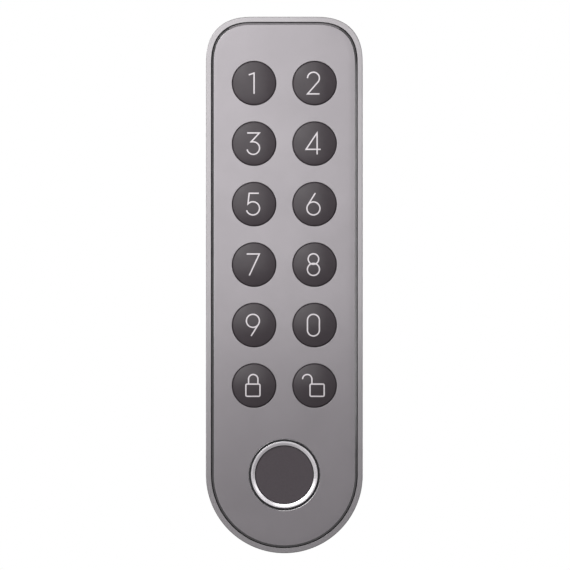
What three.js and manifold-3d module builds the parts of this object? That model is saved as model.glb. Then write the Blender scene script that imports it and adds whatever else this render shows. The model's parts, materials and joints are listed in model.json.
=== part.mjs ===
// A wall keypad for a smart lock: twelve round keys in two columns over a round fingerprint reader.
// Millimetres. The pieces are built in the keypad's own plan: x to the right, y up, and z out of the
// wall towards the user, with z = 0 on the wall. The exported group turns that plan upright, so that
// +Z is up and the front faces -Y.
import * as THREE from "three";
import { mergeVertices } from "three/addons/utils/BufferGeometryUtils.js";
import Module from "manifold-3d";

// ---- Driving dimensions -------------------------------------------------------------------------

const WIDTH = 40;
const HEIGHT = 136.7;
const CORNER = 12.2; // how far each top corner reaches along both edges
const CORNER_POWER = 2.5; // the exponent of the corner's superellipse; 2 would be a plain arc

const KEY_PITCH = 15.41;
const KEY_RADIUS = 5.5;
const KEY_HOLE_RADIUS = 5.68;
const KEY_TRAVEL = 0.6;
const TOP_ROW_DROP = 16.93; // from the top edge to the middle of the first row
const KEY_ROWS = [
  ["1", "2"],
  ["3", "4"],
  ["5", "6"],
  ["7", "8"],
  ["9", "0"],
  ["lock", "unlock"],
];

const LIFT = 7; // how far the keypad slides up its bracket to come off
const DOOR_TRAVEL = 5;

// Layers of the keypad, as distances from the wall.
const BRACKET_TOP = 2;
const SKIRT_BACK = 0.4;
const BACK_WALL = [2.4, 3.8];
const SPLIT_BACK = 11; // the rear housing ends here
const SPLIT_FRONT = 11.4; // and the bezel frame starts here
const BAY_ROOF = [14.9, 15.7];
const BOARD = [16.1, 17.1];
const MAT = [17.3, 18.0];
const LEDGE = [17.6, 19.65];
const BEZEL_FRONT = 21.6;
const PLATE = [20.4, 22];

// Insets from the outline.
const RIM = 1.35; // the width of the bezel seen from the front
const PLATE_INSET = 1.65;
const REAR_INSET = 0.25;
const WALL = 1.6;

// Battery bay for three AAA cells side by side.
const CELL_RADIUS = 5.25;
const CELL_LENGTH = 44.5;
const CELL_PITCH = 11;
const CELL_Z = 9.35;
const BAY_HALF = 16.5;
const BAY_BOTTOM = -9;
const BAY_TOP = 40.2;
const BAY_WALL = 0.8;

// The battery contacts. Cells are numbered -1, 0 and 1 from the left, and a spring presses on a cell's
// flat end.
const CONTACT = 0.4; // the thickness of the contact strip
const TOP_STRIP = BAY_TOP - 0.1 - CONTACT;
const BOTTOM_STRIP = BAY_BOTTOM + 0.1;
const NUB_GAP = 0.2;
const CONTACTS = [
  { name: "contact_top_single", top: true, cells: [-1], springs: [] },
  { name: "contact_top_double", top: true, cells: [0, 1], springs: [0] },
  { name: "contact_bottom_double", top: false, cells: [-1, 0], springs: [-1] },
  { name: "contact_bottom_single", top: false, cells: [1], springs: [1] },
];

// Security screw along the vertical axis, through the bracket's lug into the rear housing.
const LUG_HALF = 4.5;
const LUG_TOP = -64.6;
const LUG_FRONT = 8;
const SCREW_Z = 4.9;

// ---- Worked-out places --------------------------------------------------------------------------

const HALF = WIDTH / 2;
const TOP = HEIGHT / 2;
const BOTTOM = -TOP;
const ARC_Y = BOTTOM + HALF; // centre of the round lower end, and of the fingerprint reader
const ROW_Y = KEY_ROWS.map((_, row) => TOP - TOP_ROW_DROP - row * KEY_PITCH);
const HOUSING_SCREWS = [-15.8, 15.8].flatMap((x) => [58.5, -34].map((y) => [x, y]));
const POST_RADIUS = 2.6; // a housing screw's post, in both shells
const POST_HOLE_RADIUS = 1.3;
const HOOKS = [-9, 9].flatMap((x) => [58, -24].map((y) => [x, y]));
const PAST = 1; // how far a cutting shape runs past the face that it cuts

// ---- Tools --------------------------------------------------------------------------------------

const wasm = await Module();
wasm.setup();

// A closed geometry as a solid that can be joined and cut.
function solid(geometry) {
  const bare = geometry.index ? geometry.toNonIndexed() : geometry.clone();
  bare.deleteAttribute("normal");
  bare.deleteAttribute("uv");
  const merged = mergeVertices(bare, 1e-4);
  return new wasm.Manifold(
    new wasm.Mesh({
      numProp: 3,
      vertProperties: merged.attributes.position.array,
      triVerts: new Uint32Array(merged.index.array),
    }),
  );
}

function geometryOf(made) {
  const mesh = made.getMesh();
  return new THREE.BufferGeometry()
    .setAttribute("position", new THREE.BufferAttribute(mesh.vertProperties, 3))
    .setIndex(new THREE.BufferAttribute(mesh.triVerts, 1));
}

// The housing's outline moved in by inset: a round lower end, straight sides and soft top corners.
// raise lifts the round lower end, for a shorter piece of the same kind.
function outline(inset, raise = 0) {
  const half = HALF - inset;
  const reach = CORNER - inset;
  const cornerSteps = 7;
  const arcSteps = 24;
  const points = [];
  for (let i = 0; i <= arcSteps; i++) {
    const angle = Math.PI * (1 + i / arcSteps);
    const y = ARC_Y + raise + half * Math.sin(angle);
    points.push(new THREE.Vector2(half * Math.cos(angle), y));
  }
  for (const side of [1, -1]) {
    for (let i = 0; i <= cornerSteps; i++) {
      const turn = (Math.PI / 2) * (i / cornerSteps);
      const angle = side > 0 ? turn : Math.PI / 2 - turn;
      const along = reach * Math.cos(angle) ** (2 / CORNER_POWER);
      const up = reach * Math.sin(angle) ** (2 / CORNER_POWER);
      points.push(new THREE.Vector2(side * (HALF - CORNER + along), TOP - CORNER + up));
    }
  }
  return new THREE.Shape(points);
}

function prism(shape, z0, z1) {
  const settings = { depth: z1 - z0, bevelEnabled: false, curveSegments: 3 };
  return solid(new THREE.ExtrudeGeometry(shape, settings).translate(0, 0, z0));
}

function box([x0, x1], [y0, y1], [z0, z1]) {
  return solid(
    new THREE.BoxGeometry(x1 - x0, y1 - y0, z1 - z0).translate(
      (x0 + x1) / 2,
      (y0 + y1) / 2,
      (z0 + z1) / 2,
    ),
  );
}

// A turned shape about the z axis through (x, y). The profile's points are [radius, z].
function turned(profile, segments, x = 0, y = 0) {
  const points = profile.map(([r, z]) => new THREE.Vector2(r, z));
  const lathe = new THREE.LatheGeometry(points, segments).rotateX(Math.PI / 2);
  return solid(lathe.translate(x, y, 0));
}

function rod(radius, [z0, z1], segments = 16, x = 0, y = 0) {
  return turned([[0, z0], [radius, z0], [radius, z1], [0, z1]], segments, x, y);
}

// A turned shape about a vertical axis. The profile's points are [radius, y].
function turnedUpright(profile, segments, x, z) {
  const points = profile.map(([r, y]) => new THREE.Vector2(r, y));
  return solid(new THREE.LatheGeometry(points, segments).translate(x, 0, z));
}

function roundedRectangle(x0, x1, y0, y1, radius) {
  const shape = new THREE.Shape();
  shape.moveTo(x0 + radius, y0);
  shape.lineTo(x1 - radius, y0);
  shape.absarc(x1 - radius, y0 + radius, radius, -Math.PI / 2, 0);
  shape.lineTo(x1, y1 - radius);
  shape.absarc(x1 - radius, y1 - radius, radius, 0, Math.PI / 2);
  shape.lineTo(x0 + radius, y1);
  shape.absarc(x0 + radius, y1 - radius, radius, Math.PI / 2, Math.PI);
  shape.lineTo(x0, y0 + radius);
  shape.absarc(x0 + radius, y0 + radius, radius, Math.PI, 1.5 * Math.PI);
  return shape;
}

const materials = {
  satinSilver: { color: 0xb4b0b3, metalness: 0.6, roughness: 0.42 },
  satinGrey: { color: 0x9c989b, metalness: 0.5, roughness: 0.45 },
  charcoal: { color: 0x4b474a, metalness: 0, roughness: 0.5 },
  darkPlastic: { color: 0x39373a, metalness: 0, roughness: 0.6 },
  chrome: { color: 0xd8d6d8, metalness: 1, roughness: 0.12 },
  sensorGlass: { color: 0x403c3f, metalness: 0, roughness: 0.3 },
  rubber: { color: 0x1c1c1e, metalness: 0, roughness: 0.8 },
  silicone: { color: 0xcfd2d4, metalness: 0, roughness: 0.6 },
  board: { color: 0x14402a, metalness: 0, roughness: 0.5 },
  chip: { color: 0x18181a, metalness: 0, roughness: 0.5 },
  shieldCan: { color: 0xb9bcc0, metalness: 0.9, roughness: 0.35 },
  nickel: { color: 0xc6c2b8, metalness: 1, roughness: 0.25 },
  brass: { color: 0xb08d4a, metalness: 1, roughness: 0.3 },
  steel: { color: 0x8f9194, metalness: 1, roughness: 0.3 },
  cellJacket: { color: 0x2c3a4c, metalness: 0.3, roughness: 0.4 },
  flex: { color: 0xa8622a, metalness: 0, roughness: 0.4 },
  foam: { color: 0xd9d6cf, metalness: 0, roughness: 0.9 },
};
for (const [name, values] of Object.entries(materials)) {
  materials[name] = new THREE.MeshStandardMaterial(values);
}

const assembly = new THREE.Group();

function add(name, shape, material) {
  const mesh = new THREE.Mesh(geometryOf(shape), material);
  mesh.name = name;
  assembly.add(mesh);
}

// ---- Wall bracket -------------------------------------------------------------------------------

const PADS = [
  [10, 38],
  [-38, -10],
];
const PAD_HALF = 13;
const PAD_CLEARANCE = 0.4;
const WALL_SLOTS = [52, -48];
const SUNK = 1.1; // the depth of the pads' pockets, and where the slots' sunk rims begin

// The bracket stays on the wall. It is shorter than the keypad's back, so that the keypad can slide up.
function wallBracket() {
  const clearance = 0.5;
  const inset = REAR_INSET + WALL + clearance;
  const tongue = box([-LUG_HALF, LUG_HALF], [LUG_TOP - PAST, -56], [0, BRACKET_TOP]);
  const lug = prism(outline(0.6), 0, LUG_FRONT).intersect(
    box([-LUG_HALF, LUG_HALF], [BOTTOM - PAST, LUG_TOP], [0, LUG_FRONT]),
  );
  let made = prism(outline(inset, LIFT + 1), 0, BRACKET_TOP).add(tongue).add(lug);
  for (const [x, y] of HOOKS) {
    made = made.add(hook(x, y));
  }
  for (const [y0, y1] of PADS) {
    const half = PAD_HALF + PAD_CLEARANCE;
    const along = [y0 - PAD_CLEARANCE, y1 + PAD_CLEARANCE];
    made = made.subtract(prism(roundedRectangle(-half, half, ...along, 2), -PAST, SUNK));
  }
  for (const y of WALL_SLOTS) {
    made = made
      .subtract(wallSlot(1.9, y, 4, -PAST))
      .subtract(wallSlot(3.4, y, 5.5, SUNK));
  }
  const hole = [[0, BOTTOM - 2], [2.5, BOTTOM - 2], [2.5, -66.3], [1.5, -66.3], [1.5, -63], [0, -63]];
  return made.subtract(turnedUpright(hole, 20, 0, SCREW_Z));
}

// A vertical slot with round ends for a wall screw, from z0 out through the front of the bracket.
function wallSlot(half, y, reach, z0) {
  const shape = roundedRectangle(-half, half, y - reach, y + reach, half - 0.01);
  return prism(shape, z0, BRACKET_TOP + PAST);
}

const HOOK_HALF = 3;
const HOOK_STEM = 0.8; // half the stem's height
const HOOK_LIP = 2.5;

// A hook stands out from the plate and turns up behind the keypad's back wall.
function hook(x, y) {
  const lip = [BACK_WALL[1] + 0.3, BACK_WALL[1] + 1.7];
  const across = [x - HOOK_HALF, x + HOOK_HALF];
  return box(across, [y - HOOK_STEM, y + HOOK_STEM], [BRACKET_TOP - 0.5, lip[1]]).add(
    box(across, [y - HOOK_STEM, y + HOOK_STEM + HOOK_LIP], lip),
  );
}

function adhesivePad([y0, y1]) {
  return prism(roundedRectangle(-PAD_HALF, PAD_HALF, y0, y1, 1.8), 0.05, 1);
}

function securityScrew() {
  const socket = new THREE.CylinderGeometry(0.87, 0.87, 2, 6).translate(0, -67.8, SCREW_Z);
  const head = [[0, -67.6], [1.9, -67.6], [2.2, -67.3], [2.2, -66.4]];
  const shank = [[1.2, -66.4], [1.2, -59.8], [0.8, -59.4], [0, -59.4]];
  return turnedUpright([...head, ...shank], 20, 0, SCREW_Z).subtract(solid(socket));
}

add("wall_bracket", wallBracket(), materials.darkPlastic);
add("adhesive_pad_upper", adhesivePad(PADS[0]), materials.foam);
add("adhesive_pad_lower", adhesivePad(PADS[1]), materials.foam);
add("security_screw", securityScrew(), materials.steel);

// ---- Rear housing -------------------------------------------------------------------------------

const DOOR_HALF = 17;
const DOOR_EDGE = 0.7; // how far the door laps over each end of the bay
const DOOR_FRONT = 3.45;
const RECESS_FLOOR = 3.9;
const RECESS_TOP = BAY_TOP + DOOR_EDGE + DOOR_TRAVEL + 0.5;

// Lips hold the door's thin edges. Slid up by its travel, the door has a notch over each lip.
const LIP_LENGTH = 4;
const LIP_INNER = 16.4;
const LIPS = [-1, 1].flatMap((side) => [-2, 14, 30].map((y) => ({ side, y })));

// A tub, open to the front, with the battery bay standing in it and the bracket's recess behind it.
function rearHousing() {
  const headRadius = 2.3; // the sunk seat of a housing screw's head
  const headSeat = 4.4;
  const lugWall = 1.8;
  const lugClearance = 0.4;
  const outer = prism(outline(REAR_INSET), SKIRT_BACK, SPLIT_BACK);
  const recess = prism(outline(REAR_INSET + WALL), SKIRT_BACK - PAST, BACK_WALL[0]);
  const cavity = prism(outline(REAR_INSET + WALL), BACK_WALL[1], SPLIT_BACK + PAST);
  const bay = box(
    [-BAY_HALF - BAY_WALL, BAY_HALF + BAY_WALL],
    [BAY_BOTTOM - BAY_WALL, BAY_TOP + BAY_WALL],
    [BACK_WALL[0], BAY_ROOF[1]],
  );
  const floor = box([-18.4, 18.4], [BAY_BOTTOM - 2, RECESS_TOP + 1.2], [BACK_WALL[0], RECESS_FLOOR + 1]);
  const lugBlock = prism(outline(REAR_INSET), BACK_WALL[0], LUG_FRONT + lugWall).intersect(
    box([-LUG_HALF - lugWall, LUG_HALF + lugWall], [BOTTOM, -57], [0, 12]),
  );
  let made = outer.subtract(recess).subtract(cavity).add(bay).add(floor).add(lugBlock);
  for (const [x, y] of HOUSING_SCREWS) {
    made = made.add(rod(POST_RADIUS, [BACK_WALL[0], SPLIT_BACK], 20, x, y));
  }
  for (const [x, y] of HOUSING_SCREWS) {
    made = made
      .subtract(rod(POST_HOLE_RADIUS, [0, SPLIT_BACK + PAST], 16, x, y))
      .subtract(rod(headRadius, [0, headSeat], 20, x, y));
  }
  for (const [x, y] of HOOKS) {
    const across = [x - HOOK_HALF - 0.4, x + HOOK_HALF + 0.4];
    const along = [y - HOOK_STEM - LIFT - 0.5, y + HOOK_STEM + 0.3];
    made = made.subtract(box(across, along, [0, BACK_WALL[1] + PAST]));
  }
  for (const { x, y } of contactTails()) {
    made = made.subtract(box([x - 1.3, x + 1.3], [y - 0.7, y + 0.7], [BAY_ROOF[0] - PAST, 17]));
  }
  const doorSpace = [BAY_BOTTOM - DOOR_EDGE - 0.3, RECESS_TOP];
  const lugSpace = [-LUG_HALF - lugClearance, LUG_HALF + lugClearance];
  const insertHole = [[0, -65], [2.1, -65], [2.1, -58.3], [0, -58.3]];
  made = made
    .subtract(box([-BAY_HALF, BAY_HALF], [BAY_BOTTOM, BAY_TOP], [0, BAY_ROOF[0]]))
    .subtract(box([-DOOR_HALF - 0.3, DOOR_HALF + 0.3], doorSpace, [0, RECESS_FLOOR]))
    .subtract(box(lugSpace, [BOTTOM - PAST, LUG_TOP + lugClearance], [0, LUG_FRONT + lugClearance]))
    .subtract(turnedUpright(insertHole, 16, 0, SCREW_Z));
  for (const { side, y } of LIPS) {
    const across = [side * LIP_INNER, side * (DOOR_HALF + 0.5)].sort((a, b) => a - b);
    made = made.add(box(across, [y, y + LIP_LENGTH], [BACK_WALL[0], BACK_WALL[0] + 0.45]));
  }
  return made;
}

// The door slides up in its recess. Ribs across its lower end give a thumb something to push.
function batteryDoor() {
  const ends = [BAY_BOTTOM - DOOR_EDGE, BAY_TOP + DOOR_EDGE];
  const middle = LIP_INNER - 0.3;
  let made = prism(
    roundedRectangle(-middle, middle, ...ends, 1.2),
    BACK_WALL[0] + 0.25,
    DOOR_FRONT,
  ).add(box([-DOOR_HALF, DOOR_HALF], [ends[0] + 1.5, ends[1] - 1.5], [DOOR_FRONT - 0.5, DOOR_FRONT]));
  for (const { side, y } of LIPS) {
    const across = [side * middle, side * (DOOR_HALF + PAST)].sort((a, b) => a - b);
    const along = [y - DOOR_TRAVEL - 0.3, y - DOOR_TRAVEL + LIP_LENGTH + 0.3];
    made = made.subtract(box(across, along, [0, RECESS_FLOOR]));
  }
  for (let i = 0; i < 4; i++) {
    const y = BAY_BOTTOM + 3 + 1.6 * i;
    made = made.add(box([-6, 6], [y, y + 0.7], [BACK_WALL[0] + 0.05, BACK_WALL[0] + 0.5]));
  }
  return made;
}

function doorSeal() {
  const edge = 0.12;
  const width = 0.5;
  const depths = [DOOR_FRONT + 0.07, RECESS_FLOOR - 0.08];
  const ring = (out) =>
    roundedRectangle(-BAY_HALF - out, BAY_HALF + out, BAY_BOTTOM - out, BAY_TOP + out, 0.6 + out);
  return prism(ring(edge + width), ...depths).subtract(prism(ring(edge), 3, 5));
}

// A brass insert with a groove round its middle.
function screwInsert() {
  const bore = 1.32;
  const outside = [[1.9, -63.9], [1.9, -61.8], [1.7, -61.6], [1.7, -61.1], [1.9, -60.9], [1.9, -58.6]];
  const profile = [[bore, -63.9], ...outside, [bore, -58.6], [bore, -63.9]];
  return turnedUpright(profile, 16, 0, SCREW_Z);
}

// Runs forward from the back wall, through the rear housing's post and into the bezel's.
function housingScrew(x, y) {
  const cross = box([x - 1.2, x + 1.2], [y - 0.25, y + 0.25], [2, 3.4]).add(
    box([x - 0.25, x + 0.25], [y - 1.2, y + 1.2], [2, 3.4]),
  );
  const head = [[0, 2.7], [1.6, 2.7], [2, 3.1], [2, 4.2]];
  const shank = [[1, 4.2], [1, 13.6], [0.5, 14.2], [0, 14.2]];
  return turned([...head, ...shank], 12, x, y).subtract(cross);
}

add("rear_housing", rearHousing(), materials.darkPlastic);
add("battery_door", batteryDoor(), materials.darkPlastic);
add("door_seal", doorSeal(), materials.rubber);
add("screw_insert", screwInsert(), materials.brass);
HOUSING_SCREWS.forEach(([x, y], i) => {
  add(`housing_screw_${i + 1}`, housingScrew(x, y), materials.steel);
});

// ---- Bezel frame and front plate ----------------------------------------------------------------

// A hoop with a ledge inside, which carries the front plate, and posts for the housing screws.
function bezelFrame() {
  let made = prism(outline(0), SPLIT_FRONT, BEZEL_FRONT)
    .subtract(prism(outline(WALL + 0.1), SPLIT_FRONT - PAST, LEDGE[0]))
    .subtract(prism(outline(2.7), LEDGE[0] - PAST, LEDGE[1] + PAST))
    .subtract(prism(outline(RIM), LEDGE[1], BEZEL_FRONT + PAST));
  for (const [x, y] of HOUSING_SCREWS) {
    const post = rod(POST_RADIUS, [SPLIT_FRONT, BOARD[1]], 20, x, y);
    made = made.add(post.intersect(prism(outline(0.5), SPLIT_FRONT, LEDGE[1])));
  }
  for (const [x, y] of HOUSING_SCREWS) {
    made = made.subtract(rod(POST_HOLE_RADIUS, [SPLIT_FRONT - PAST, 15.6], 16, x, y));
  }
  return made;
}

function frontPlate() {
  const chamfer = 0.3;
  const settings = {
    depth: PLATE[1] - PLATE[0] - 2 * chamfer,
    bevelThickness: chamfer,
    bevelSize: chamfer,
    bevelOffset: -chamfer,
    bevelSegments: 1,
  };
  const slab = new THREE.ExtrudeGeometry(outline(PLATE_INSET), settings);
  let made = solid(slab.translate(0, 0, PLATE[0] + chamfer));
  for (const key of keys()) {
    made = made.subtract(rod(KEY_HOLE_RADIUS, [PLATE[0] - PAST, PLATE[1] + PAST], 20, key.x, key.y));
  }
  const hole = [[0, 19], [8.9, 19], [8.9, PLATE[1] - 0.25], [9.7, PLATE[1] + 0.55], [0, PLATE[1] + 0.55]];
  return made.subtract(turned(hole, 32, 0, ARC_Y));
}

function hoop(outerInset, innerInset, [z0, z1]) {
  return prism(outline(outerInset), z0, z1).subtract(
    prism(outline(innerInset), z0 - PAST, z1 + PAST),
  );
}

add("bezel_frame", bezelFrame(), materials.satinSilver);
add("front_plate", frontPlate(), materials.satinGrey);
add("plate_seal", hoop(1.95, 2.6, [LEDGE[1] + 0.1, PLATE[0] - 0.1]), materials.rubber);
add("housing_seal", hoop(0.75, 1.45, [SPLIT_BACK + 0.08, SPLIT_FRONT - 0.08]), materials.rubber);

// ---- Keys ---------------------------------------------------------------------------------------

function keys() {
  return KEY_ROWS.flatMap((names, row) =>
    names.map((name, column) => ({
      name,
      x: (column - 0.5) * KEY_PITCH,
      y: ROW_Y[row],
    })),
  );
}

// A domed cap that stands a little proud of the plate, with a flange that the plate holds in.
const CAP_PROFILE = [
  [0, 19.3],
  [6.5, 19.3],
  [6.5, 20],
  [KEY_RADIUS, 20],
  [KEY_RADIUS, 22.25],
  [5.2, 22.55],
  [3, 22.9],
  [0, 23],
];

// The silicone top under each cap, with its contact pill one travel above the board.
const RUBBER_PROFILE = [
  [0, BOARD[1] + KEY_TRAVEL + 0.1],
  [1.8, BOARD[1] + KEY_TRAVEL + 0.1],
  [1.8, 18.4],
  [4.9, 18.4],
  [4.5, 19.15],
  [0, 19.15],
];

for (const { name, x, y } of keys()) {
  add(`keycap_${name}`, turned(CAP_PROFILE, 20, x, y), materials.charcoal);
  add(`rubber_key_${name}`, turned(RUBBER_PROFILE, 12, x, y), materials.silicone);
}

const BOARD_BOTTOM = -37.5;

// The plan shape of a sheet that ends above the fingerprint reader.
function upperSheet(inset, bottom, [z0, z1]) {
  return prism(outline(inset), z0, z1).intersect(box([-HALF, HALF], [bottom, TOP], [z0, z1]));
}

function keyMat() {
  let made = upperSheet(3.1, BOARD_BOTTOM + 0.6, MAT);
  for (const key of keys()) {
    made = made.subtract(rod(5.3, [MAT[0] - PAST, MAT[1] + PAST], 14, key.x, key.y));
  }
  return made;
}

// The board carries one backlight beside each key's contact.
function circuitBoard() {
  const lampOffset = 3.4;
  let made = upperSheet(2.2, BOARD_BOTTOM, BOARD);
  for (const [x, y] of HOUSING_SCREWS) {
    made = made.subtract(rod(2.95, [BOARD[0] - PAST, BOARD[1] + PAST], 16, x, y));
  }
  for (const key of keys()) {
    const x = key.x + lampOffset;
    made = made.add(box([x - 0.5, x + 0.5], [key.y - 0.8, key.y + 0.8], [BOARD[1] - 0.2, BOARD[1] + 0.45]));
  }
  return made;
}

add("key_mat", keyMat(), materials.silicone);
add("circuit_board", circuitBoard(), materials.board);

// ---- Parts on the board -------------------------------------------------------------------------

const UNDER_BOARD = BOARD[0] - 0.15;

add("radio_module", box([-8, 8], [46, 57], [UNDER_BOARD - 2.1, UNDER_BOARD]), materials.shieldCan);
add("controller_chip", box([-13, -5], [-25, -17], [UNDER_BOARD - 1, UNDER_BOARD]), materials.chip);
add("buzzer", rod(4.5, [UNDER_BOARD - 3.1, UNDER_BOARD], 20, 8, -21), materials.chip);

// ---- Fingerprint reader -------------------------------------------------------------------------

// The ring's face slopes in towards the glass, and its flange sits behind the plate.
const RING_PROFILE = [
  [7.5, 19.4],
  [10.2, 19.4],
  [10.2, 20.1],
  [8.55, 20.1],
  [8.55, PLATE[1] + 0.1],
  [8.35, PLATE[1] + 0.15],
  [7.5, 21.5],
  [7.5, 19.4],
];

// A flat cable from the reader's board to the main board, in two flat runs and a slope.
function sensorFlex() {
  const thick = 0.2;
  const route = [[-45, 13.9], [-38.5, 13.9], [-35.5, 15.65], [-31, 15.65]];
  const lower = route.map(([y, z]) => new THREE.Vector2(y, z));
  const upper = route.map(([y, z]) => new THREE.Vector2(y, z + thick)).reverse();
  const width = 6;
  const strip = new THREE.ExtrudeGeometry(new THREE.Shape([...lower, ...upper]), {
    depth: width,
    bevelEnabled: false,
  });
  // The drawn shape lies in (y, z), so its first axis turns to y, its second to z and its depth to x.
  const turn = new THREE.Matrix4().makeBasis(
    new THREE.Vector3(0, 1, 0),
    new THREE.Vector3(0, 0, 1),
    new THREE.Vector3(1, 0, 0),
  );
  return solid(strip.applyMatrix4(turn).translate(-width / 2, 0, 0));
}

add("sensor_ring", turned(RING_PROFILE, 32, 0, ARC_Y), materials.chrome);
add(
  "sensor_glass",
  turned([[0, 20.35], [7.35, 20.35], [7.35, 21.35], [7.25, 21.45], [0, 21.45]], 32, 0, ARC_Y),
  materials.sensorGlass,
);
add("sensor_module", rod(7.2, [15.5, 20.25], 24, 0, ARC_Y), materials.chip);
add("sensor_board", rod(9.3, [14.3, 15.3], 24, 0, ARC_Y), materials.board);
add("sensor_flex", sensorFlex(), materials.flex);

// ---- Batteries and their contacts ---------------------------------------------------------------

function cell(x, nubUp) {
  const can = [[0, 0], [5.05, 0], [CELL_RADIUS, 0.25], [CELL_RADIUS, 43.1], [4.9, 43.5]];
  const nub = [[1.9, 43.6], [1.9, CELL_LENGTH], [0, CELL_LENGTH]];
  const points = [...can, ...nub].map(([r, y]) => new THREE.Vector2(r, y));
  const lathe = new THREE.LatheGeometry(points, 20);
  if (nubUp) {
    lathe.translate(x, TOP_STRIP - NUB_GAP - CELL_LENGTH, CELL_Z);
  } else {
    lathe.rotateX(Math.PI).translate(x, BOTTOM_STRIP + CONTACT + NUB_GAP + CELL_LENGTH, CELL_Z);
  }
  return solid(lathe);
}

// A spring that narrows from the contact strip towards the cell. direction is +1 if it points up.
function contactSpring(x, base, direction) {
  const turns = 3;
  const steps = 36;
  const length = 3;
  const wire = 0.32;
  const points = [];
  for (let i = 0; i <= steps; i++) {
    const share = i / steps;
    const angle = 2 * Math.PI * turns * share;
    const radius = 3.5 - 1.5 * share;
    points.push(
      new THREE.Vector3(
        x + radius * Math.cos(angle),
        base + direction * length * share,
        CELL_Z + radius * Math.sin(angle),
      ),
    );
  }
  const path = new THREE.CatmullRomCurve3(points);
  const section = new THREE.Shape();
  section.absarc(0, 0, wire, 0, 2 * Math.PI);
  return solid(
    new THREE.ExtrudeGeometry(section, { steps: 42, extrudePath: path, curveSegments: 3 }),
  );
}

// Where each contact's tail goes through the bay's roof to reach the board.
function contactTails() {
  return CONTACTS.map(({ top, cells }) => ({
    x: cells.length > 1 ? (CELL_PITCH * (cells[0] + cells[1])) / 2 : CELL_PITCH * cells[0],
    y: (top ? TOP_STRIP : BOTTOM_STRIP) + CONTACT / 2,
  }));
}

function contact({ top, cells, springs }, tail) {
  const strip = top ? TOP_STRIP : BOTTOM_STRIP;
  const y = [strip, strip + CONTACT];
  const halfWidth = 4.6;
  let made = box(
    [CELL_PITCH * cells[0] - halfWidth, CELL_PITCH * cells.at(-1) + halfWidth],
    y,
    [CELL_Z - 4, CELL_Z + 4.6],
  ).add(box([tail.x - 0.9, tail.x + 0.9], y, [CELL_Z + 4, BOARD[0] - 0.1]));
  for (const index of springs) {
    const base = top ? strip + 0.1 : strip + CONTACT - 0.1;
    made = made.add(contactSpring(CELL_PITCH * index, base, top ? -1 : 1));
  }
  return made;
}

[-1, 0, 1].forEach((index, i) => {
  add(`battery_${i + 1}`, cell(CELL_PITCH * index, index !== 0), materials.cellJacket);
});
const tails = contactTails();
CONTACTS.forEach((entry, i) => {
  add(entry.name, contact(entry, tails[i]), materials.nickel);
});

// ---- The part's frame: +Z up, front towards -Y, wall face at y = 0 ------------------------------

const keypad = new THREE.Group();
assembly.rotation.x = Math.PI / 2;
keypad.add(assembly);

export default keypad;
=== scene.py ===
"""The looks of a slim wall keypad: round keys in two columns over a round fingerprint reader.

Shapes are drawn in the keypad's plan, in millimetres: x to the right, y up and d out of the wall.
place() turns the plan into the frame's metres, where +Z is up and the front faces -Y.
"""

import json
import math

import bmesh
import bpy
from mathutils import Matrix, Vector


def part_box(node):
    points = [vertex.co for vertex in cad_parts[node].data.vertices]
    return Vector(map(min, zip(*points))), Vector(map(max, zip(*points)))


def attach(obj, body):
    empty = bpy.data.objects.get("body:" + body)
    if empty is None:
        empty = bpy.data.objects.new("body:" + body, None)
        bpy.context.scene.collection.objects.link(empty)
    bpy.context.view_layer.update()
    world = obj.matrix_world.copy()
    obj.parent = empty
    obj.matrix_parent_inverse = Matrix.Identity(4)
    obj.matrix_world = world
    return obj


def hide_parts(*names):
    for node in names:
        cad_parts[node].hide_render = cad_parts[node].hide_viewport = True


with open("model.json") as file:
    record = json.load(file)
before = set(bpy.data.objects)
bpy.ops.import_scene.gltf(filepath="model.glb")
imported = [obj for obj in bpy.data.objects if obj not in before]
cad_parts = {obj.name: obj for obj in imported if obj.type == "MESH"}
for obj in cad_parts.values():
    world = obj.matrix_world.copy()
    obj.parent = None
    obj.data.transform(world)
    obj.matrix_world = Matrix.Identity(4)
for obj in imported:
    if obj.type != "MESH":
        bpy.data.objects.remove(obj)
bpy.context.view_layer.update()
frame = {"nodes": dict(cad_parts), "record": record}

MM = 0.001


# ---- Places, read from the CAD nodes ----


class Place:
    """A CAD node's box in the plan."""

    def __init__(self, node):
        low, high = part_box(node)
        self.left, self.right = low.x / MM, high.x / MM
        self.bottom, self.top = low.z / MM, high.z / MM
        self.back, self.front = -high.y / MM, -low.y / MM
        self.x = (self.left + self.right) / 2
        self.y = (self.bottom + self.top) / 2
        self.radius = (self.right - self.left) / 2


BEZEL = Place("bezel_frame")
PLATE = Place("front_plate")
REAR = Place("rear_housing")
BRACKET = Place("wall_bracket")
RING = Place("sensor_ring")
GLASS = Place("sensor_glass")
SCREW = Place("security_screw")
KEY_NAMES = [*"1234567890", "lock", "unlock"]
KEYS = {name: Place(f"keycap_{name}") for name in KEY_NAMES}

HALF = BEZEL.radius
CORNER = 12.2  # how far each top corner reaches along both edges
CORNER_POWER = 2.5
ARC_Y = RING.y  # the lower end is round about the fingerprint reader

RIM = 1.31  # the bezel's width, seen from the front
REAR_INSET = HALF - REAR.radius
PLATE_INSET = HALF - PLATE.radius - 0.1  # the plate's fine edge leaves only a narrow gap


def place(x, y, d):
    return Vector((x, -d, y)) * MM


# ---- Outlines and profiles ----


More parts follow.
